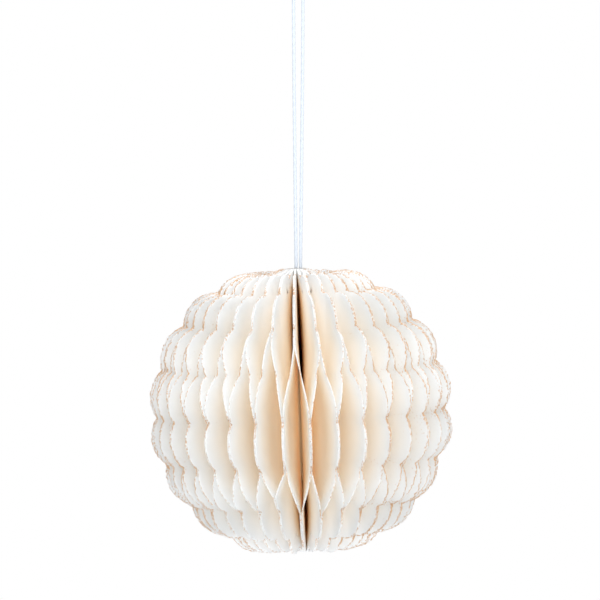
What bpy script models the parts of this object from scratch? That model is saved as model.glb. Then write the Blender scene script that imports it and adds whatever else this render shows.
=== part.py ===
# Origami paper ball: a hanging ball of folded, scalloped paper sheets on a doubled cord.
# Metres, +Z up. The origin is the inside of the cord's loop, where the ball hangs.
# Every sheet is one scalloped disc, creased down its middle and opened like a book.
# Its two leaves are glued to each other near the poles, and each leaf is glued to the
# next sheet's leaf in a band below the middle, so lens-shaped cells open between them.

import bpy
import bmesh
import math

# Sheets
SHEET_COUNT = 34
PAPER = 0.0003
CLEARANCE = 0.0003
FIRST_SHEET_DEG = -1.65

# Outline of a sheet
TIP_RADIUS = 0.0752
NOTCH_DEPTH = 0.0038
POLE_FLATTENING = 0.070
FLAT_POWER = 14
LOBES_PER_SIDE = 8
TOP_LOBE_DEG = 14.3
BOTTOM_LOBE_DEG = 12.3
LOBE_SEGMENTS = 4
POLE_SEGMENTS = 2

# Heights of the glued bands, from the middle of the ball
TOP_GLUE_LOW = 0.0365
MIDDLE_GLUE_HIGH = -0.0020
MIDDLE_GLUE_LOW = -0.0205
BOTTOM_GLUE_HIGH = -0.0465
PEEL_POWER = 1.25
GLUE_SCATTER = 0.0018

# Sheets whose own bands were glued plainly higher or lower than the others, by index from the front
GLUE_SHIFTS = {
    1: -0.0028,
    SHEET_COUNT - 1: 0.0085,
}

# How the ball hangs
BALL_DROP = 0.2125
BALL_OFFSET = 0.00115
BALL_LEAN_DEG = 2.0

# Cord
CORD_DIAMETER = 0.0017
KNOT_ABOVE_MIDDLE = 0.0200

# The free cord, from its left exit at the top of the ball up to the loop and down to the right exit
CORD_ROUTE = [
    (-0.00110, 0.0, -0.14250),
    (-0.00124, 0.0, -0.13000),
    (-0.00138, 0.0, -0.11700),
    (-0.00152, 0.0, -0.10400),
    (-0.00166, 0.0, -0.09100),
    (-0.00180, 0.0, -0.07800),
    (-0.00194, 0.0, -0.06500),
    (-0.00206, 0.0, -0.05200),
    (-0.00216, 0.0, -0.03900),
    (-0.00224, 0.0, -0.02700),
    (-0.00230, 0.0, -0.01750),
    (-0.00233, 0.0, -0.01150),
    (-0.00236, 0.0, -0.00820),
    (-0.00257, 0.0, -0.00620),
    (-0.00305, 0.0, -0.00470),
    (-0.00348, 0.0, -0.00320),
    (-0.00342, 0.0, -0.00166),
    (-0.00270, 0.0, -0.00036),
    (-0.00148, 0.0, 0.00053),
    (0.00000, 0.0, 0.00085),
    (0.00148, 0.0, 0.00053),
    (0.00270, 0.0, -0.00036),
    (0.00342, 0.0, -0.00166),
    (0.00348, 0.0, -0.00320),
    (0.00305, 0.0, -0.00470),
    (0.00257, 0.0, -0.00620),
    (0.00236, 0.0, -0.00820),
    (0.00233, 0.0, -0.01150),
    (0.00230, 0.0, -0.01750),
    (0.00224, 0.0, -0.02700),
    (0.00216, 0.0, -0.03900),
    (0.00206, 0.0, -0.05200),
    (0.00194, 0.0, -0.06500),
    (0.00180, 0.0, -0.07800),
    (0.00166, 0.0, -0.09100),
    (0.00152, 0.0, -0.10400),
    (0.00138, 0.0, -0.11700),
    (0.00124, 0.0, -0.13000),
    (0.00110, 0.0, -0.14250),
]

# Worked out from the sizes above
HALF_PITCH = math.pi / SHEET_COUNT
HINGE_SIDE = (CLEARANCE + PAPER) / 2
HINGE_RADIUS = HINGE_SIDE * (1 + math.cos(HALF_PITCH)) / math.sin(HALF_PITCH)
CREASE_RADIUS = (CLEARANCE / 2 + PAPER * math.cos(HALF_PITCH)) / math.sin(HALF_PITCH)
KNOT_RADIUS = CREASE_RADIUS - CLEARANCE


def clear_scene():
    for old in list(bpy.data.objects):
        bpy.data.objects.remove(old, do_unlink=True)


def make_material(name, color, roughness, metallic=0.0):
    material = bpy.data.materials.new(name)
    material.use_nodes = True
    shader = material.node_tree.nodes["Principled BSDF"]
    shader.inputs["Base Color"].default_value = (*color, 1.0)
    shader.inputs["Roughness"].default_value = roughness
    shader.inputs["Metallic"].default_value = metallic
    return material


def place(obj, parent, material):
    bpy.context.scene.collection.objects.link(obj)
    obj.parent = parent
    obj.data.materials.append(material)
    return obj


# A repeatable number between -1 and 1, so that no two sheets are quite alike.
def scatter(index, seed):
    value = math.sin((index % SHEET_COUNT) * 12.9898 + seed * 78.233) * 43758.5453
    return 2 * (value - math.floor(value)) - 1


# Outline of a leaf

# One lobe is an arc through its two notches and its tip. Polar angles give its middle and half its width.
def lobe_arc(middle, half_width, start, steps):
    notch = TIP_RADIUS - NOTCH_DEPTH
    half_chord = notch * math.sin(half_width)
    rise = TIP_RADIUS - notch * math.cos(half_width)
    arc_radius = (half_chord ** 2 + rise ** 2) / (2 * rise)
    arc_half = math.atan2(half_chord, arc_radius - rise)
    points = []
    for step in range(steps):
        turn = arc_half * (start + (1 - start) * step / steps)
        out = TIP_RADIUS - arc_radius + arc_radius * math.cos(turn)
        along = arc_radius * math.sin(turn)
        points.append((math.hypot(out, along), middle + math.atan2(along, out)))
    return points


# Towards the poles the sheets were cut a little flatter than a circle.
def flattened(distance, polar):
    squash = 1 - POLE_FLATTENING * math.cos(polar) ** FLAT_POWER
    return (distance * squash * math.sin(polar), distance * squash * math.cos(polar))


# Radius and height of the leaf's cut edge, from pole to pole, without its two ends on the crease.
def leaf_edge():
    top, bottom = math.radians(TOP_LOBE_DEG), math.radians(BOTTOM_LOBE_DEG)
    half_width = (math.pi - top - bottom) / LOBES_PER_SIDE / 2
    polar_points = lobe_arc(0.0, top, 0.0, POLE_SEGMENTS)[1:]
    for lobe in range(LOBES_PER_SIDE):
        middle = top + half_width * (2 * lobe + 1)
        polar_points += lobe_arc(middle, half_width, -1.0, LOBE_SEGMENTS)
    polar_points += lobe_arc(math.pi, bottom, -1.0, 2 * POLE_SEGMENTS)[:POLE_SEGMENTS]
    return [flattened(*point) for point in polar_points]


def crease_heights():
    top = flattened(TIP_RADIUS, 0.0)[1]
    upper = (TOP_GLUE_LOW + MIDDLE_GLUE_HIGH) / 2
    lower = (MIDDLE_GLUE_LOW + BOTTOM_GLUE_HIGH) / 2
    return [
        top,
        TOP_GLUE_LOW,
        upper,
        MIDDLE_GLUE_HIGH,
        MIDDLE_GLUE_LOW,
        lower,
        BOTTOM_GLUE_HIGH,
        -top,
    ]


# How far a leaf has swung from its own fold (0) to its neighbour's leaf (1) at a height.
def swing_at(height, top_low, middle_high, middle_low, bottom_high):
    if height >= top_low or height <= bottom_high:
        return 0.0
    if height > middle_high:
        share = (top_low - height) / (top_low - middle_high)
    elif height < middle_low:
        share = (height - bottom_high) / (middle_low - bottom_high)
    else:
        share = 1.0
    return math.sin(share ** PEEL_POWER * math.pi / 2)


# A folded sheet

# Position on a leaf's face. The sheet points to the front, side is -1 or 1, face is -1 inside and 1 outside.
def leaf_point(side, face, radius, height, swing):
    angle = swing * HALF_PITCH
    length = radius - HINGE_RADIUS
    out = HINGE_RADIUS + length * math.cos(angle) - face * PAPER / 2 * math.sin(angle)
    sideways = HINGE_SIDE + length * math.sin(angle) + face * PAPER / 2 * math.cos(angle)
    return (side * sideways, -out, height)


def folded_sheet(index, parent, material):
    edge = leaf_edge()
    heights = crease_heights()
    lift = GLUE_SHIFTS.get(index, GLUE_SCATTER * scatter(index, 1))
    mesh = bmesh.new()
    crease_in = [mesh.verts.new((0.0, -CREASE_RADIUS - PAPER, z)) for z in heights]
    crease_out = {}
    chains = {}
    for side in (-1, 1):
        crease_out[side] = [mesh.verts.new((side * PAPER, -CREASE_RADIUS, z)) for z in heights]
        neighbour = index + (side - 1) // 2
        drop = GLUE_SCATTER * scatter(neighbour, 2)
        bands = (
            TOP_GLUE_LOW + lift,
            MIDDLE_GLUE_HIGH + drop,
            MIDDLE_GLUE_LOW + drop,
            BOTTOM_GLUE_HIGH + lift,
        )
        for face in (-1, 1):
            crease = crease_in if face == -1 else crease_out[side]
            chain = [crease[0]]
            for radius, height in edge:
                swing = swing_at(height, *bands)
                chain.append(mesh.verts.new(leaf_point(side, face, radius, height, swing)))
            chain.append(crease[-1])
            chains[side, face] = chain
            fill_leaf(mesh, crease, chain)
        rim_in, rim_out = chains[side, -1], chains[side, 1]
        for k in range(len(rim_in) - 1):
            mesh.faces.new((rim_in[k], rim_in[k + 1], rim_out[k + 1], rim_out[k]))
    for k in range(len(heights) - 1):
        left, right = crease_out[-1], crease_out[1]
        mesh.faces.new((left[k], left[k + 1], right[k + 1], right[k]))
    for end in (0, -1):
        mesh.faces.new((crease_out[-1][end], crease_out[1][end], crease_in[end]))
    bmesh.ops.triangulate(mesh, faces=mesh.faces)
    bmesh.ops.recalc_face_normals(mesh, faces=mesh.faces)
    data = bpy.data.meshes.new(f"folded_sheet_{index + 1:02d}")
    mesh.to_mesh(data)
    mesh.free()
    sheet = place(bpy.data.objects.new(data.name, data), parent, material)
    sheet.rotation_euler = (0.0, 0.0, math.radians(FIRST_SHEET_DEG) + 2 * HALF_PITCH * index)
    return sheet


# One face of a leaf: triangles between the crease and the cut edge, level with each other.
def fill_leaf(mesh, crease, edge):
    on_crease, on_edge = 0, 1
    last_crease, last_edge = len(crease) - 1, len(edge) - 2
    mesh.faces.new((crease[0], edge[1], crease[1]))
    on_crease = 1
    while on_crease < last_crease - 1 or on_edge < last_edge:
        if on_crease < last_crease - 1:
            between = (crease[on_crease].co.z + crease[on_crease + 1].co.z) / 2
        else:
            between = -math.inf
        if on_edge < last_edge and edge[on_edge + 1].co.z >= between:
            mesh.faces.new((crease[on_crease], edge[on_edge], edge[on_edge + 1]))
            on_edge += 1
        else:
            mesh.faces.new((crease[on_crease], edge[on_edge], crease[on_crease + 1]))
            on_crease += 1
    mesh.faces.new((crease[last_crease - 1], edge[last_edge], crease[last_crease]))


# The cord

def cord_tube(name, points, material):
    curve = bpy.data.curves.new(name, "CURVE")
    curve.dimensions = "3D"
    curve.bevel_depth = CORD_DIAMETER / 2
    curve.bevel_resolution = 2
    curve.use_fill_caps = True
    spline = curve.splines.new("POLY")
    spline.points.add(len(points) - 1)
    for point, position in zip(spline.points, points):
        point.co = (*position, 1.0)
    return place(bpy.data.objects.new(name, curve), None, material)


# Both strands go down the hollow in the middle of the ball to the knot that holds them.
def inner_strands(material):
    knot_height = -BALL_DROP + KNOT_ABOVE_MIDDLE
    for name, (x, y, z) in (
        ("cord_strand_left", CORD_ROUTE[0]),
        ("cord_strand_right", CORD_ROUTE[-1]),
    ):
        low = knot_height + KNOT_RADIUS + CLEARANCE
        cord_tube(name, [(x, y, z - CLEARANCE), (x, y, low)], material)


# The knot is glued in the hollow, where it meets the creases all round.
def cord_knot(parent, material):
    mesh = bmesh.new()
    bmesh.ops.create_uvsphere(mesh, u_segments=10, v_segments=6, radius=KNOT_RADIUS)
    data = bpy.data.meshes.new("cord_knot")
    mesh.to_mesh(data)
    mesh.free()
    knot = place(bpy.data.objects.new("cord_knot", data), parent, material)
    knot.location = (0.0, 0.0, KNOT_ABOVE_MIDDLE)
    return knot


def build():
    clear_scene()
    paper = make_material("ivory_paper", (0.92, 0.90, 0.85), 0.85)
    cotton = make_material("white_cotton_cord", (0.90, 0.89, 0.86), 0.9)
    ball = bpy.data.objects.new("ball_hanging", None)
    bpy.context.scene.collection.objects.link(ball)
    ball.location = (BALL_OFFSET, 0.0, -BALL_DROP)
    ball.rotation_euler = (0.0, -math.radians(BALL_LEAN_DEG), 0.0)
    for index in range(SHEET_COUNT):
        folded_sheet(index, ball, paper)
    cord_tube("hanging_cord", CORD_ROUTE, cotton)
    inner_strands(cotton)
    cord_knot(ball, cotton)


build()
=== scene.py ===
import math
import bpy
import numpy as np
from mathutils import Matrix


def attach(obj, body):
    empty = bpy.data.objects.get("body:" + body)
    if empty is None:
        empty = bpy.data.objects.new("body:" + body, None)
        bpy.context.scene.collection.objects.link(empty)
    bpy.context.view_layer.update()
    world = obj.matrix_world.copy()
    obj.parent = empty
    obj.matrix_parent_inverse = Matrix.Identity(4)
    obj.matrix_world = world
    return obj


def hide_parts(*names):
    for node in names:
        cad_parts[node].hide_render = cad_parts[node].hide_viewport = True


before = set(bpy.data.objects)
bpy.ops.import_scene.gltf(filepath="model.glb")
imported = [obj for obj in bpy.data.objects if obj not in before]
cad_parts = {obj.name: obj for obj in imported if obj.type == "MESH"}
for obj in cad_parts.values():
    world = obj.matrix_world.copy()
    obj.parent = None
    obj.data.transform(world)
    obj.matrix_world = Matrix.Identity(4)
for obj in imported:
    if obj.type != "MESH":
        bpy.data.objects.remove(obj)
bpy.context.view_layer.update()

# The ball as the CAD part gives it, in metres and degrees.
ball = {
    "sheetCount": 34,
    "firstSheetDegrees": -1.65,
    "tipRadius": 0.0752,
    "notchDepth": 0.0038,
    "poleFlattening": 0.070,
    "flatPower": 14,
    "lobesPerSide": 8,
    "topLobeDegrees": 14.3,
    "bottomLobeDegrees": 12.3,
    "drop": 0.2125,
    "offset": 0.00115,
    "leanDegrees": 2.0,
}

# Heights of the glued bands in metres from the middle of the ball, and how much they differ by sheet.
gluedBands = {
    "topLow": 0.0365,
    "middleHigh": -0.0020,
    "middleLow": -0.0205,
    "bottomHigh": -0.0465,
    "scatter": 0.0018,
    "shifts": {1: -0.0028, 33: 0.0085},
}

halfPitch = math.pi / ball["sheetCount"]


# Camera
cameraSetup = {
    "distance": 2.0,
    "elevationDegrees": 2.8,
    "metresPerPixel": 0.000493,
    "ballPixel": (300.6, 410.0),
    "pictureSide": 600,
}


def addCamera(setup):
    # Frame width at the ball is pixels times metres per pixel; the lens follows from the distance.
    data = bpy.data.cameras.new("photoCamera")
    camera = bpy.data.objects.new("photoCamera", data)
    bpy.context.scene.collection.objects.link(camera)
    bpy.context.scene.camera = camera
    side, scale = setup["pictureSide"], setup["metresPerPixel"]
    data.lens = data.sensor_width * setup["distance"] / (side * scale)
    lift = math.radians(setup["elevationDegrees"])
    aimX = ball["offset"] + (side / 2 - setup["ballPixel"][0]) * scale
    aimZ = -ball["drop"] + (setup["ballPixel"][1] - side / 2) * scale / math.cos(lift)
    reach = setup["distance"]
    camera.location = (aimX, -reach * math.cos(lift), aimZ + reach * math.sin(lift))
    camera.rotation_euler = (math.pi / 2 - lift, 0.0, 0.0)
    print("camera placed")


# Materials
# Depths are in metres from the cut edge, fold distances in metres from the crease.
paperLook = {
    # Painted light and shade along the depth from the cut edge: a cool white where light falls on the edge,
    # a painted warm bounce light and shade deeper in, and a painted brown shade at the crease.
    "edgeColor": (0.925, 0.938, 0.948),
    "rimColor": (0.92, 0.925, 0.925),
    "innerColor": (0.976, 0.963, 0.940),
    "deepBounceShade": (0.990, 0.938, 0.838),
    # Painted brown shade at the bottom of the crease.
    "creaseShadeColor": (0.95, 0.76, 0.49),
    "whiteTo": 0.0008,
    "warmFrom": 0.010,
    "deepFrom": 0.050,
    "creaseFrom": 0.006,
    "creaseTo": 0.022,
    "creaseDepth": (0.006, 0.030),
    "throughShare": 0.45,
    "closedTo": 0.036,
    "openFrom": 0.044,
    "roughness": 0.7,
    "specular": 0.25,
    "mottleColor": (0.93, 0.925, 0.905),
    "mottleScale": 90.0,
    "mottleRange": (0.35, 0.65),
    "mottleShare": 0.15,
    "fleckColor": (0.30, 0.20, 0.14),
    "fleckScale": 75.0,
    "fleckSize": (0.022, 0.030),
    "fleckShare": 0.30,
    "fibreScale": 1400.0,
    "fibreDetail": 4.0,
    "fibreHeight": 0.0002,
    "fibreStrength": 0.25,
}
glitterLook = {
    "color": (0.60, 0.38, 0.22),
    "metallic": 0.3,
    "roughness": 0.40,
    "flakeScale": 1700.0,
    "flakeDetail": 1.0,
    "patchScale": 70.0,
    "patchRange": (0.40, 0.60),
    "patchNeed": 0.10,
    "rimNeed": (0.60, 0.44),  # between the notches and at them
    # The two side shares add flakes on sheets turned to the sides: a painted copper glint.
    "rimSideGlint": 0.20,
    "faceNeed": (0.50, 0.85),  # at the cut edge and past the reach
    "faceNotch": 0.10,
    "notchFrom": 0.3,
    "faceSideGlint": 0.11,
    "reach": 0.0008,
    "glintSide": {"left": (30, 60), "right": (15, 40)},  # degrees from the front: no painted glint until, full painted glint from
}
cordLook = {
    # The white cord's colour is a painted cool blue-grey shade, darker still as painted shade between the
    # hairs.
    "color": (0.72, 0.78, 0.86),
    "shadeColor": (0.58, 0.64, 0.73),
    "shadeShare": 0.5,
    "roughness": 0.95,
    "fuzzScale": 2500.0,
    "fuzzDetail": 3.0,
    "fuzzRange": (0.3, 0.7),
    "fuzzHeight": 0.0001,
    "fuzzStrength": 0.4,
}


def newMaterial(name):
    # A material with nothing in it but the output.
    material = bpy.data.materials.new(name)
    material.use_nodes = True
    nodes, links = material.node_tree.nodes, material.node_tree.links
    nodes.clear()
    out = nodes.new("ShaderNodeOutputMaterial")
    return material, nodes, links, out


def mapRange(nodes, links, source, low, high, toLow=0.0, toHigh=1.0):
    # toLow + (toHigh - toLow) * (source - low) / (high - low), held between the two.
    node = nodes.new("ShaderNodeMapRange")
    node.inputs["From Min"].default_value = low
    node.inputs["From Max"].default_value = high
    node.inputs["To Min"].default_value = toLow
    node.inputs["To Max"].default_value = toHigh
    links.new(source, node.inputs["Value"])
    return node.outputs["Result"]


def mixColor(nodes, links, factor, first, second):
    # first * (1 - factor) + second * factor, where each is a colour or another node's socket.
    node = nodes.new("ShaderNodeMix")
    node.data_type = "RGBA"
    links.new(factor, node.inputs["Factor"])
    for socket, value in ((node.inputs[6], first), (node.inputs[7], second)):
        if isinstance(value, tuple):
            socket.default_value = (*value, 1.0)
        else:
            links.new(value, socket)
    return node.outputs[2]


def mathNode(nodes, links, operation, first, second):
    # One operation on two values, where each is a number or another node's socket.
    node = nodes.new("ShaderNodeMath")
    node.operation = operation
    for socket, value in zip(node.inputs, (first, second)):
        if isinstance(value, (int, float)):
            socket.default_value = value
        else:
            links.new(value, socket)
    return node.outputs[0]


def attribute(nodes, name):
    # A value that the piece's own mesh holds at each point.
    node = nodes.new("ShaderNodeAttribute")
    node.attribute_name = name
    return node.outputs["Fac"]


def noise(nodes, links, place, scale, detail=2.0):
    # Cloudy values round 0.5, with as many clouds a metre as the scale.
    node = nodes.new("ShaderNodeTexNoise")
    node.inputs["Scale"].default_value = scale
    node.inputs["Detail"].default_value = detail
    links.new(place, node.inputs["Vector"])
    return node.outputs["Fac"]


def bumpFrom(nodes, links, height, strength, distance):
    # Tilts the surface as if it rose by height * distance.
    node = nodes.new("ShaderNodeBump")
    node.inputs["Strength"].default_value = strength
    node.inputs["Distance"].default_value = distance
    links.new(height, node.inputs["Height"])
    return node.outputs["Normal"]


def paperColor(nodes, links, place, look, onRim):
    # Painted light and shade by depth: white where light falls on the cut edge, cream further in, a painted
    # warm bounce and shade deeper between the leaves and a painted brown shade at the crease; then a slight
    # mottle and dark flecks.
    depth = attribute(nodes, "edgeDistance")
    fold = attribute(nodes, "creaseDistance")
    inward = mapRange(nodes, links, depth, look["whiteTo"], look["warmFrom"])
    color = mixColor(nodes, links, inward, look["rimColor" if onRim else "edgeColor"], look["innerColor"])
    # Painted warm bounce light and shade deeper between the leaves.
    deepBounceMask = mapRange(nodes, links, depth, look["warmFrom"], look["deepFrom"])
    color = mixColor(nodes, links, deepBounceMask, color, look["deepBounceShade"])
    # Painted brown shade at the bottom of the crease, where the leaves close.
    creaseShadeMask = mapRange(nodes, links, fold, look["creaseTo"], look["creaseFrom"])
    inside = mapRange(nodes, links, depth, *look["creaseDepth"])
    creaseShadeMask = mathNode(nodes, links, "MULTIPLY", creaseShadeMask, inside)
    color = mixColor(nodes, links, creaseShadeMask, color, look["creaseShadeColor"])
    clouds = noise(nodes, links, place, look["mottleScale"])
    mottle = mapRange(nodes, links, clouds, *look["mottleRange"], 0.0, look["mottleShare"])
    color = mixColor(nodes, links, mottle, color, look["mottleColor"])
    return mixColor(nodes, links, fleckMask(nodes, links, place, look), color, look["fleckColor"])


def fleckMask(nodes, links, place, look):
    # Each cell of the pattern has one spot, and shows it when its random value is under the share.
    spots = nodes.new("ShaderNodeTexVoronoi")
    spots.inputs["Scale"].default_value = look["fleckScale"]
    links.new(place, spots.inputs["Vector"])
    near = mapRange(nodes, links, spots.outputs["Distance"], *look["fleckSize"], 1.0, 0.0)
    pick = nodes.new("ShaderNodeSeparateColor")
    links.new(spots.outputs["Color"], pick.inputs["Color"])
    chosen = mathNode(nodes, links, "LESS_THAN", pick.outputs[0], look["fleckShare"])
    return mathNode(nodes, links, "MULTIPLY", near, chosen)


def softPaper(nodes, links, place, look, onRim):
    # Matte paper that lets a share of the light through, except near the crease.
    color = paperColor(nodes, links, place, look, onRim)
    paper = nodes.new("ShaderNodeBsdfPrincipled")
    paper.inputs["Roughness"].default_value = look["roughness"]
    paper.inputs["Specular IOR Level"].default_value = look["specular"]
    links.new(color, paper.inputs["Base Color"])
    fibres = noise(nodes, links, place, look["fibreScale"], look["fibreDetail"])
    tilted = bumpFrom(nodes, links, fibres, look["fibreStrength"], look["fibreHeight"])
    links.new(tilted, paper.inputs["Normal"])
    through = nodes.new("ShaderNodeBsdfTranslucent")
    links.new(color, through.inputs["Color"])
    fold = attribute(nodes, "creaseDistance")
    share = mapRange(nodes, links, fold, look["closedTo"], look["openFrom"], 0.0, look["throughShare"])
    soft = nodes.new("ShaderNodeMixShader")
    links.new(share, soft.inputs["Fac"])
    links.new(paper.outputs[0], soft.inputs[1])
    links.new(through.outputs[0], soft.inputs[2])
    return soft.outputs[0]


def flakeMask(nodes, links, place, glitter, onRim):
    # A flake shows where fine noise passes a need: the need at a bare edge, less at the notches and on the
    # sheets turned to the sides, where the extra flakes are a painted copper glint, more away from the cut
    # edge and between patches.
    notch = attribute(nodes, "notchNearness")
    # Painted glint: the need drops on sheets turned to the sides.
    glint = glitter["rimSideGlint" if onRim else "faceSideGlint"]
    glintedNeed = mapRange(nodes, links, attribute(nodes, "sideGlintShare"), 0.0, 1.0, 0.0, glint)
    if onRim:
        bare = mapRange(nodes, links, notch, 0.0, 1.0, *glitter["rimNeed"])
    else:
        depth = attribute(nodes, "edgeDistance")
        faded = mapRange(nodes, links, depth, 0.0, glitter["reach"], *glitter["faceNeed"])
        notched = mapRange(nodes, links, notch, glitter["notchFrom"], 1.0, 0.0, glitter["faceNotch"])
        bare = mathNode(nodes, links, "SUBTRACT", faded, notched)
    need = mathNode(nodes, links, "SUBTRACT", bare, glintedNeed)
    clouds = noise(nodes, links, place, glitter["patchScale"])
    patches = mapRange(nodes, links, clouds, *glitter["patchRange"], glitter["patchNeed"], 0.0)
    flakes = noise(nodes, links, place, glitter["flakeScale"], glitter["flakeDetail"])
    return mathNode(nodes, links, "GREATER_THAN", flakes, mathNode(nodes, links, "ADD", need, patches))


def makePaper(name, look, glitter, onRim):
    # Soft paper with copper flakes by the cut edge.
    material, nodes, links, out = newMaterial(name)
    place = nodes.new("ShaderNodeTexCoord").outputs["Object"]
    copper = nodes.new("ShaderNodeBsdfPrincipled")
    copper.inputs["Base Color"].default_value = (*glitter["color"], 1.0)
    copper.inputs["Metallic"].default_value = glitter["metallic"]
    copper.inputs["Roughness"].default_value = glitter["roughness"]
    final = nodes.new("ShaderNodeMixShader")
    links.new(flakeMask(nodes, links, place, glitter, onRim), final.inputs["Fac"])
    links.new(softPaper(nodes, links, place, look, onRim), final.inputs[1])
    links.new(copper.outputs[0], final.inputs[2])
    links.new(final.outputs[0], out.inputs["Surface"])
    return material


def makeCotton(look):
    # White cotton painted a cool blue-grey shade, with a painted shade a little darker between its hairs.
    material, nodes, links, out = newMaterial("whiteCottonCord")
    place = nodes.new("ShaderNodeTexCoord").outputs["Object"]
    fuzz = noise(nodes, links, place, look["fuzzScale"], look["fuzzDetail"])
    shade = mapRange(nodes, links, fuzz, *look["fuzzRange"], 0.0, look["shadeShare"])
    cotton = nodes.new("ShaderNodeBsdfPrincipled")
    cotton.inputs["Roughness"].default_value = look["roughness"]
    links.new(mixColor(nodes, links, shade, look["color"], look["shadeColor"]), cotton.inputs["Base Color"])
    tilted = bumpFrom(nodes, links, fuzz, look["fuzzStrength"], look["fuzzHeight"])
    links.new(tilted, cotton.inputs["Normal"])
    links.new(cotton.outputs[0], out.inputs["Surface"])
    return material


# Folded sheets, with lengths in metres and angles in radians
sheetDetail = {
    "columns": 420,  # along the cut edge, from pole to pole
    "innerRows": (0.0, 0.33, 0.67),  # shares of the way from the crease to the inner line
    "marginRows": (0.0, 0.40, 0.72, 0.91, 1.0),  # and from the inner line to the cut edge
    "marginShare": 0.14,
    "marginTurn": 0.26,  # the margin grows over this angle from each pole
    "creaseInset": 0.998,
    "lineInset": 0.999,
    "endRadius": 0.0006,  # the cut edge starts this far outside the hinge
    "paper": 0.00050,
    "rimShare": (0.45, 1.0),  # thinnest and thickest cut edge, as shares of the paper
    "rimStep": 0.0008,
    "gluedGap": 0.00006,  # room for the glue
    "freeFrom": 0.004,  # the inner faces of the two leaves meet at the crease over this length
    "deckle": 0.00065,  # deepest bite out of the torn edge
    "coarseStep": 0.0014,
    "fineStep": 0.0006,
    "fineShare": 0.8,
    "deckleFade": 0.004,
    "peelPower": (1.10, 1.40),
    "notchWander": 0.010,
    "notchReach": 0.055,
    "tipWander": 0.0006,
    "seeds": {"leaf": 1000, "notch": 77, "tip": 177},
}


def smoothNoise(rng, where, spacing):
    # Random values a spacing apart, joined by straight lines.
    count = int((where.max() - where.min()) / spacing) + 3
    values = rng.uniform(-1.0, 1.0, count)
    return np.interp((where - where.min()) / spacing, np.arange(count), values)


def notchAngles(rng):
    # Polar angles of the notches: one lobe across each pole, and equal lobes between.
    top, bottom = math.radians(ball["topLobeDegrees"]), math.radians(ball["bottomLobeDegrees"])
    angles = np.linspace(top, math.pi - bottom, ball["lobesPerSide"] + 1)
    angles = angles + rng.uniform(-1, 1, len(angles)) * sheetDetail["notchWander"]
    return np.concatenate([[-angles[0]], angles, [2 * math.pi - angles[-1]]])


def squashAt(polar):
    # The poles are cut a little flatter: 1 - flattening * cos(angle) ^ power.
    return 1 - ball["poleFlattening"] * np.cos(polar) ** ball["flatPower"]


def leafOutline(polar, notches, tips):
    # Each lobe is a circle through its two notches and its tip. A ray at an angle from the lobe's middle
    # meets it at centre * cos + sqrt(circle^2 - centre^2 * sin^2).
    lobe = np.clip(np.searchsorted(notches, polar) - 1, 0, len(notches) - 2)
    middle = (notches[lobe] + notches[lobe + 1]) / 2
    half = (notches[lobe + 1] - notches[lobe]) / 2
    notch = ball["tipRadius"] - ball["notchDepth"]
    tip = ball["tipRadius"] + tips[lobe]
    rise = tip - notch * np.cos(half)
    circle = ((notch * np.sin(half)) ** 2 + rise ** 2) / (2 * rise)
    centre = tip - circle
    turn = polar - middle
    distance = centre * np.cos(turn) + np.sqrt(circle ** 2 - (centre * np.sin(turn)) ** 2)
    distance = distance * squashAt(polar)
    gap = np.minimum(polar - notches[lobe], notches[lobe + 1] - polar)
    return distance, np.exp(-((gap / sheetDetail["notchReach"]) ** 2))


def swingAt(height, bands, peelPower):
    # 0 where a leaf is glued to the other leaf of its sheet, 1 where it is glued to the next sheet,
    # and sin(90 degrees * share ^ peelPower) in between.
    upper = (bands["topLow"] - height) / (bands["topLow"] - bands["middleHigh"])
    lower = (height - bands["bottomHigh"]) / (bands["middleLow"] - bands["bottomHigh"])
    share = np.clip(np.minimum(upper, lower), 0.0, 1.0)
    return np.sin(share ** peelPower * math.pi / 2)


def scatter(index, seed):
    # A value from -1 to 1 that looks random and is the same for a sheet each time it is asked for.
    value = math.sin((index % ball["sheetCount"]) * 12.9898 + seed * 78.233) * 43758.5453
    return 2 * (value - math.floor(value)) - 1


def sheetGrid(polar, spread, edgeRadius, edgeHeight, creaseRadius):
    # Rows run from the crease over a smooth inner line to the cut edge. The inner line is a share of the
    # ball's outline, and from there each row point lies on the ray from the ball's middle to the edge,
    # so that the columns can't cross at the notches.
    detail = sheetDetail
    top = ball["tipRadius"] * (1 - ball["poleFlattening"])
    creaseHeight = top * np.cos(polar) / math.cos(spread) * detail["creaseInset"]
    fromPole = np.minimum(polar, math.pi - polar) - spread
    share = 1 - detail["marginShare"] * np.clip(fromPole / detail["marginTurn"], 0, 1)
    reach = ball["tipRadius"] * share * squashAt(polar)
    reach = np.minimum(reach, np.hypot(edgeRadius, edgeHeight) * detail["lineInset"])
    lineRadius, lineHeight = reach * np.sin(polar), reach * np.cos(polar)
    inner = np.array(detail["innerRows"])[:, None]
    margin = np.array(detail["marginRows"])[:, None]
    innerRadius = creaseRadius + inner * (lineRadius - creaseRadius)
    marginRadius = lineRadius + margin * (edgeRadius - lineRadius)
    innerHeight = creaseHeight + inner * (lineHeight - creaseHeight)
    marginHeight = lineHeight + margin * (edgeHeight - lineHeight)
    return np.concatenate([innerRadius, marginRadius]), np.concatenate([innerHeight, marginHeight])


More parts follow.
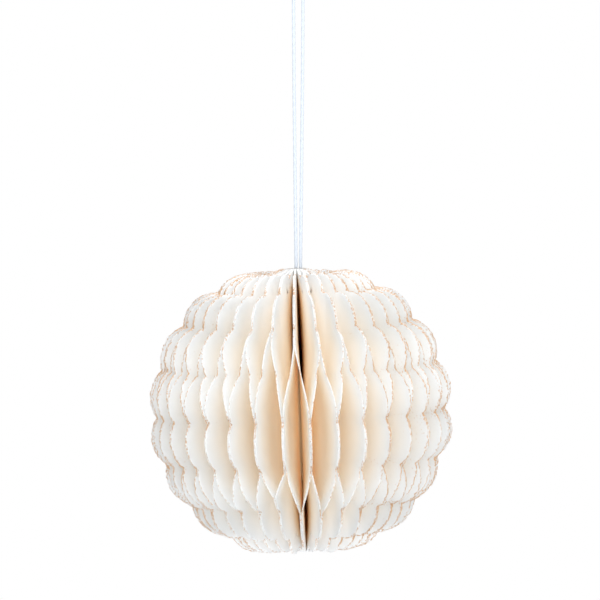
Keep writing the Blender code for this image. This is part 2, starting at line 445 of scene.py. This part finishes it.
def leafSurfaces(index, side):
    # A point lies on a straight line from the hinge by the crease, turned by the swing at its height, and
    # half the paper's thickness to each face. Columns run from pole to pole.
    detail = sheetDetail
    seeds = detail["seeds"]
    rng = np.random.default_rng(seeds["leaf"] + 2 * index + (side > 0))
    paper, gap = detail["paper"], detail["gluedGap"]
    hingeSide = (gap + paper) / 2
    hingeRadius = hingeSide * (1 + math.cos(halfPitch)) / math.sin(halfPitch)
    poleRadius = ball["tipRadius"] * (1 - ball["poleFlattening"])
    spread = math.asin((hingeRadius + detail["endRadius"]) / poleRadius)
    polar = np.linspace(spread, math.pi - spread, detail["columns"])
    notches = notchAngles(np.random.default_rng(seeds["notch"] + index))
    tips = np.random.default_rng(seeds["tip"] + index).uniform(-1, 1, len(notches)) * detail["tipWander"]
    distance, nearness = leafOutline(polar, notches, tips)
    along = np.concatenate([[0], np.cumsum(np.hypot(np.diff(distance), distance[1:] * np.diff(polar)))])
    fade = np.clip(np.minimum(along, along[-1] - along) / detail["deckleFade"], 0, 1)
    rough = smoothNoise(rng, along, detail["coarseStep"])
    rough = rough + detail["fineShare"] * smoothNoise(rng, along, detail["fineStep"])
    distance = distance - np.abs(rough) * detail["deckle"] * fade
    edgeRadius, edgeHeight = distance * np.sin(polar), distance * np.cos(polar)
    creaseRadius = (gap / 2 + paper * math.cos(halfPitch)) / math.sin(halfPitch)
    radius, height = sheetGrid(polar, spread, edgeRadius, edgeHeight, creaseRadius)
    neighbour = index + (side - 1) // 2
    lift = gluedBands["shifts"].get(index, gluedBands["scatter"] * scatter(index, 1))
    drop = gluedBands["scatter"] * scatter(neighbour, 2)
    bands = {
        "topLow": gluedBands["topLow"] + lift,
        "middleHigh": gluedBands["middleHigh"] + drop,
        "middleLow": gluedBands["middleLow"] + drop,
        "bottomHigh": gluedBands["bottomHigh"] + lift,
    }
    angle = swingAt(height, bands, rng.uniform(*detail["peelPower"])) * halfPitch
    length = radius - hingeRadius
    free = np.clip(length / detail["freeFrom"], 0, 1)
    thick = np.full(radius.shape, paper / 2)
    low, high = detail["rimShare"]
    thick[-1] *= low + (high - low) * (0.5 + 0.5 * smoothNoise(rng, along, detail["rimStep"]))
    faces = []
    for face in (1, -1):
        across = face * thick
        out = hingeRadius + length * np.cos(angle) - across * np.sin(angle)
        sideways = hingeSide * np.clip(radius / hingeRadius, 0, 1) + np.maximum(length, 0) * np.sin(angle)
        sideways = sideways + across * np.cos(angle)
        if face < 0:
            sideways = sideways * free
        faces.append(np.stack([side * sideways, -out, height], axis=-1))
    edge = np.hypot(radius - edgeRadius, height - edgeHeight)
    crease = np.broadcast_to(radius - creaseRadius, edge.shape)
    return faces[0], faces[1], edge, np.broadcast_to(nearness, edge.shape), crease


def joinRing(index):
    # Round the sheet's section: left outer face, left inner face, right inner face, right outer face.
    left = leafSurfaces(index, -1)
    right = leafSurfaces(index, 1)
    order = ((left, 0, 1), (left, 1, -1), (right, 1, 1), (right, 0, -1))
    points, edge, near, fold = [], [], [], []
    for place, (leaf, face, step) in enumerate(order):
        skip = slice(1, None) if place == 2 else slice(None)  # the two inner faces share the crease
        points.append(leaf[face][::step][skip])
        edge.append(leaf[2][::step][skip])
        near.append(leaf[3][::step][skip])
        fold.append(leaf[4][::step][skip])
    return [np.concatenate(rows) for rows in (points, edge, near, fold)]


def ringFaces(ring, columns, rows):
    # Quads between neighbours of the grid, closed round the ring. At both poles a strip of quads closes
    # each leaf, and one triangle closes the crease.
    here = np.arange(ring)[:, None] * columns + np.arange(columns - 1)[None, :]
    beside = np.roll(np.arange(ring), -1)[:, None] * columns + np.arange(columns - 1)[None, :]
    quads = np.stack([here, beside, beside + 1, here + 1], axis=-1).reshape(-1, 4)
    rim = np.zeros((ring, columns - 1), bool)
    rim[rows - 1] = True
    rim[3 * rows - 2] = True
    leftIn = 2 * rows - 1 - np.arange(rows)
    leftOut = np.arange(rows)
    rightIn = 2 * rows - 1 + np.arange(rows)
    rightOut = ring - 1 - np.arange(rows)
    ends = []
    for column, flip in ((0, 1), (columns - 1, -1)):
        for outer, inner, turn in ((leftOut, leftIn, 1), (rightOut, rightIn, -1)):
            out, back = outer * columns + column, inner * columns + column
            strip = np.stack([out[:-1], back[:-1], back[1:], out[1:]], axis=-1)
            ends.append(strip[:, ::flip * turn])
    crease = np.array([[leftOut[0], rightOut[0], leftIn[0]]])
    return quads, rim.reshape(-1), np.concatenate(ends), crease


def ballPlace(points, turnDegrees):
    # Turned about the ball's axis, then leaned over sideways, then hung below the loop.
    turn, lean = math.radians(turnDegrees), -math.radians(ball["leanDegrees"])
    along, across = math.cos(turn), math.sin(turn)
    spin = np.array([[along, -across, 0], [across, along, 0], [0, 0, 1]])
    upright, sideways = math.cos(lean), math.sin(lean)
    tilt = np.array([[upright, 0, sideways], [0, 1, 0], [-sideways, 0, upright]])
    return points @ (tilt @ spin).T + np.array([ball["offset"], 0.0, -ball["drop"]])


def signedVolume(points, faces):
    # Sum over the triangles of first . (second x third) / 6, positive where the faces point outwards.
    first, second, third = points[faces[:, 0]], points[faces[:, 1]], points[faces[:, 2]]
    return np.einsum("ij,ij->i", first, np.cross(second, third)).sum() / 6


def addMesh(name, points, loops, starts, rimFaces, attributes, materials):
    # Arrays straight into a new mesh. Rim faces are flat and take the second material.
    mesh = bpy.data.meshes.new(name)
    mesh.vertices.add(len(points))
    mesh.vertices.foreach_set("co", points.astype(np.float32).ravel())
    mesh.loops.add(len(loops))
    mesh.loops.foreach_set("vertex_index", loops.astype(np.int32))
    mesh.polygons.add(len(starts))
    mesh.polygons.foreach_set("loop_start", starts.astype(np.int32))
    mesh.polygons.foreach_set("material_index", rimFaces.astype(np.int32))
    mesh.polygons.foreach_set("use_smooth", ~rimFaces)
    for key, values in attributes.items():
        layer = mesh.attributes.new(key, "FLOAT", "POINT")
        layer.data.foreach_set("value", values.astype(np.float32).ravel())
    mesh.update(calc_edges=True)
    mesh.validate()
    piece = bpy.data.objects.new(name, mesh)
    bpy.context.scene.collection.objects.link(piece)
    for material in materials:
        mesh.materials.append(material)
    return piece


def sideGlintShare(index):
    # Painted copper glint: 0 on the front sheets and 1 on the side and back ones, along a straight line
    # between two angles.
    turned = (ball["firstSheetDegrees"] + 360 / ball["sheetCount"] * index + 180) % 360 - 180
    low, high = glitterLook["glintSide"]["right" if turned > 0 else "left"]
    return min(1.0, max(0.0, (abs(turned) - low) / (high - low)))


def addSheet(index, materials):
    # The ring of rows with its faces and its two closed ends. Where the volume is negative, every face is
    # turned over, so that all of them point outwards.
    rows = len(sheetDetail["innerRows"]) + len(sheetDetail["marginRows"])
    columns = sheetDetail["columns"]
    grid, edge, near, fold = joinRing(index)
    ring = len(grid)
    quads, rim, ends, crease = ringFaces(ring, columns, rows)
    points = ballPlace(grid.reshape(-1, 3), ball["firstSheetDegrees"] + 360 / ball["sheetCount"] * index)
    top = crease * columns
    bottom = top[:, ::-1] + columns - 1
    allQuads = np.concatenate([quads, ends])
    loops = np.concatenate([allQuads.ravel(), top.ravel(), bottom.ravel()])
    starts = np.concatenate([np.arange(len(allQuads)) * 4, len(allQuads) * 4 + np.array([0, 3])])
    rimFaces = np.concatenate([rim, np.ones(len(ends) + 2, bool)])
    halves = np.concatenate([allQuads[:, [0, 1, 2]], allQuads[:, [0, 2, 3]]])
    if signedVolume(points, halves) < 0:
        loops = np.concatenate([part[:, ::-1].ravel() for part in (allQuads, top, bottom)])
    attributes = {
        "edgeDistance": edge,
        "notchNearness": near,
        "creaseDistance": fold,
        # Painted copper glint: more flakes on the sheets turned to the sides.
        "sideGlintShare": np.full(edge.shape, sideGlintShare(index)),
    }
    sheet = addMesh(f"foldedSheet{index + 1:02d}", points, loops, starts, rimFaces, attributes, materials)
    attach(sheet, "root")
    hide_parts(f"folded_sheet_{index + 1:02d}")


# Cord
cordShape = {
    "diameter": 0.0017,
    "plies": 3,
    "plyDepth": 0.14,
    "twistLength": 0.0042,
    "around": 18,
    "step": 0.00045,
    "curveSteps": 24,
    "route": [
        (-0.00110, 0.0, -0.14250),
        (-0.00124, 0.0, -0.13000),
        (-0.00138, 0.0, -0.11700),
        (-0.00152, 0.0, -0.10400),
        (-0.00166, 0.0, -0.09100),
        (-0.00180, 0.0, -0.07800),
        (-0.00194, 0.0, -0.06500),
        (-0.00206, 0.0, -0.05200),
        (-0.00216, 0.0, -0.03900),
        (-0.00224, 0.0, -0.02700),
        (-0.00230, 0.0, -0.01750),
        (-0.00233, 0.0, -0.01150),
        (-0.00236, 0.0, -0.00820),
        (-0.00257, 0.0, -0.00620),
        (-0.00305, 0.0, -0.00470),
        (-0.00348, 0.0, -0.00320),
        (-0.00342, 0.0, -0.00166),
        (-0.00270, 0.0, -0.00036),
        (-0.00148, 0.0, 0.00053),
        (0.00000, 0.0, 0.00085),
        (0.00148, 0.0, 0.00053),
        (0.00270, 0.0, -0.00036),
        (0.00342, 0.0, -0.00166),
        (0.00348, 0.0, -0.00320),
        (0.00305, 0.0, -0.00470),
        (0.00257, 0.0, -0.00620),
        (0.00236, 0.0, -0.00820),
        (0.00233, 0.0, -0.01150),
        (0.00230, 0.0, -0.01750),
        (0.00224, 0.0, -0.02700),
        (0.00216, 0.0, -0.03900),
        (0.00206, 0.0, -0.05200),
        (0.00194, 0.0, -0.06500),
        (0.00180, 0.0, -0.07800),
        (0.00166, 0.0, -0.09100),
        (0.00152, 0.0, -0.10400),
        (0.00138, 0.0, -0.11700),
        (0.00124, 0.0, -0.13000),
        (0.00110, 0.0, -0.14250),
    ],
}


def smoothRoute(route, step):
    # A curve that passes through every point of the route, one stretch for each four points in turn:
    # half of 2 * start + (end - before) * share + square * share ^ 2 + cube * share ^ 3.
    # Then points at even steps along it.
    knots = np.array(route)
    knots = np.concatenate([[2 * knots[0] - knots[1]], knots, [2 * knots[-1] - knots[-2]]])
    share = np.linspace(0, 1, cordShape["curveSteps"], endpoint=False)[None, :, None]
    before, start, end, after = (knots[shift:len(knots) - 3 + shift, None, :] for shift in range(4))
    square = 2 * before - 5 * start + 4 * end - after
    cube = 3 * start - before - 3 * end + after
    curve = 0.5 * (2 * start + (end - before) * share + square * share ** 2 + cube * share ** 3)
    curve = np.concatenate([curve.reshape(-1, 3), knots[-2:-1]])
    along = np.concatenate([[0], np.cumsum(np.linalg.norm(np.diff(curve, axis=0), axis=1))])
    even = np.linspace(0, along[-1], int(along[-1] / step) + 1)
    return np.stack([np.interp(even, along, curve[:, axis]) for axis in range(3)], axis=-1), even


def twistedTube(name, line, along, material):
    # Round each point of the line the radius is half the diameter * (1 - depth * groove), and the groove is
    # |cos(plies * angle / 2)| ^ 3. The angle runs on by one ply every twist length, so the plies wind.
    shape = cordShape
    ahead = np.gradient(line, axis=0)
    ahead = ahead / np.linalg.norm(ahead, axis=1, keepdims=True)
    acrossY = np.broadcast_to(np.array([0.0, 1.0, 0.0]), ahead.shape)
    acrossX = np.cross(acrossY, ahead)
    angle = np.linspace(0, 2 * math.pi, shape["around"], endpoint=False)[None, :]
    wound = angle + along[:, None] / shape["twistLength"] * 2 * math.pi / shape["plies"]
    groove = np.abs(np.cos(shape["plies"] * wound / 2)) ** 3
    radius = shape["diameter"] / 2 * (1 - shape["plyDepth"] * groove)
    points = line[:, None, :] + radius[..., None] * (
        np.cos(angle)[..., None] * acrossX[:, None, :] + np.sin(angle)[..., None] * acrossY[:, None, :]
    )
    count, around = points.shape[:2]
    here = np.arange(count - 1)[:, None] * around + np.arange(around)[None, :]
    beside = np.arange(count - 1)[:, None] * around + np.roll(np.arange(around), -1)[None, :]
    quads = np.stack([here, beside, beside + around, here + around], axis=-1).reshape(-1, 4)
    halves = np.concatenate([quads[:, :3], quads[:, [0, 2, 3]]])
    caps = [np.arange(around)[::-1], np.arange(around) + (count - 1) * around]
    loops = np.concatenate([quads.ravel(), *caps])
    starts = np.concatenate([np.arange(len(quads)) * 4, len(quads) * 4 + np.array([0, around])])
    flat = np.zeros(len(quads) + 2, bool)
    flatPoints = points.reshape(-1, 3)
    if signedVolume(flatPoints - flatPoints.mean(axis=0), halves) < 0:
        loops = np.concatenate([quads[:, ::-1].ravel(), caps[0][::-1], caps[1][::-1]])
    return addMesh(name, flatPoints, loops, starts, flat, {}, [material])


def addCord(material):
    # The free cord, and the same cotton on the hidden ends and knot that the frame brings.
    line, along = smoothRoute(cordShape["route"], cordShape["step"])
    cord = twistedTube("hangingCord", line, along, material)
    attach(cord, "root")
    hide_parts("hanging_cord")
    for node in ("cord_strand_left", "cord_strand_right", "cord_knot"):
        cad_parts[node].data.materials.clear()
        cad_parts[node].data.materials.append(material)
    print("cord hung")


# Light and floor
studio = {
    "worldStrength": 0.63,
    "worldColor": (0.965, 0.985, 1.0),  # a little cool, against the paper's own warmth
    "lamps": {
        "leftLamp": {"energy": 3.0, "place": (-1.5, -1.3, 0.2)},
        "rightLamp": {"energy": 7.0, "place": (1.5, -1.3, 0.2)},
        "rightFront": {"energy": 3.5, "place": (1.0, -2.1, 0.1)},
        "frontLamp": {"energy": 9.0, "place": (0.0, -2.4, -0.2)},
        "topLamp": {"energy": 22.0, "place": (0.0, -0.8, 1.6)},
        "lowLamp": {"energy": 5.0, "place": (0.0, -1.2, -1.1)},
    },
    "lampSide": 1.4,
    "floorBelow": 1.0,
    "floorSide": 6.0,
    "floorColor": (0.95, 0.95, 0.95),
    "floorRoughness": 0.9,
    "bounces": 96,  # light gets in between the leaves only after many turns
    "softBounces": 90,
}


def addLamp(name, energy, place, side):
    # A square lamp turned so that its face looks at the middle of the ball.
    light = bpy.data.lights.new(name, "AREA")
    light.shape = "SQUARE"
    light.size = side
    light.energy = energy
    lamp = bpy.data.objects.new(name, light)
    bpy.context.scene.collection.objects.link(lamp)
    lamp.location = place
    aim = np.array([0.0, 0.0, -ball["drop"]]) - np.array(place)
    down = math.atan2(math.hypot(aim[0], aim[1]), -aim[2])
    lamp.rotation_euler = (down, 0.0, math.atan2(aim[1], aim[0]) - math.pi / 2)


def lightStudio(setup):
    # Even world light that looks white to the camera and in shiny or clear surfaces, and the lamps.
    world = bpy.data.worlds.new("studioWorld")
    bpy.context.scene.world = world
    world.use_nodes = True
    nodes, links = world.node_tree.nodes, world.node_tree.links
    nodes.clear()
    out = nodes.new("ShaderNodeOutputWorld")
    path = nodes.new("ShaderNodeLightPath")
    seen = mathNode(nodes, links, "MAXIMUM", path.outputs["Is Camera Ray"], path.outputs["Is Glossy Ray"])
    seen = mathNode(nodes, links, "MAXIMUM", seen, path.outputs["Is Transmission Ray"])
    dim = nodes.new("ShaderNodeBackground")
    dim.inputs["Color"].default_value = (*setup["worldColor"], 1.0)
    dim.inputs["Strength"].default_value = setup["worldStrength"]
    white = nodes.new("ShaderNodeBackground")
    white.inputs["Color"].default_value = (1.0, 1.0, 1.0, 1.0)
    mix = nodes.new("ShaderNodeMixShader")
    links.new(seen, mix.inputs["Fac"])
    links.new(dim.outputs[0], mix.inputs[1])
    links.new(white.outputs[0], mix.inputs[2])
    links.new(mix.outputs[0], out.inputs["Surface"])
    for name, lamp in setup["lamps"].items():
        addLamp(name, lamp["energy"], lamp["place"], setup["lampSide"])
    cycles = bpy.context.scene.cycles
    cycles.max_bounces = setup["bounces"]
    cycles.diffuse_bounces = setup["softBounces"]
    cycles.transmission_bounces = setup["softBounces"]
    bpy.context.scene.view_settings.view_transform = "Standard"
    print("lights set")


def addFloor(setup):
    # A pale square below the ball.
    mesh = bpy.data.meshes.new("studioFloor")
    low = -ball["drop"] - ball["tipRadius"] - setup["floorBelow"]
    half = setup["floorSide"] / 2
    corners = [(-half, -half, low), (half, -half, low), (half, half, low), (-half, half, low)]
    mesh.from_pydata(corners, [], [(0, 1, 2, 3)])
    floor = bpy.data.objects.new("studioFloor", mesh)
    bpy.context.scene.collection.objects.link(floor)
    material, nodes, links, out = newMaterial("paleFloor")
    pale = nodes.new("ShaderNodeBsdfPrincipled")
    pale.inputs["Base Color"].default_value = (*setup["floorColor"], 1.0)
    pale.inputs["Roughness"].default_value = setup["floorRoughness"]
    links.new(pale.outputs[0], out.inputs["Surface"])
    mesh.materials.append(material)
    print("floor laid")


# The order of work
addCamera(cameraSetup)
addCord(makeCotton(cordLook))
leafPaper = makePaper("cottonPaper", paperLook, glitterLook, False)
rimPaper = makePaper("cutEdge", paperLook, glitterLook, True)
for sheetIndex in range(ball["sheetCount"]):
    addSheet(sheetIndex, [leafPaper, rimPaper])
print("sheets folded")
lightStudio(studio)
addFloor(studio)
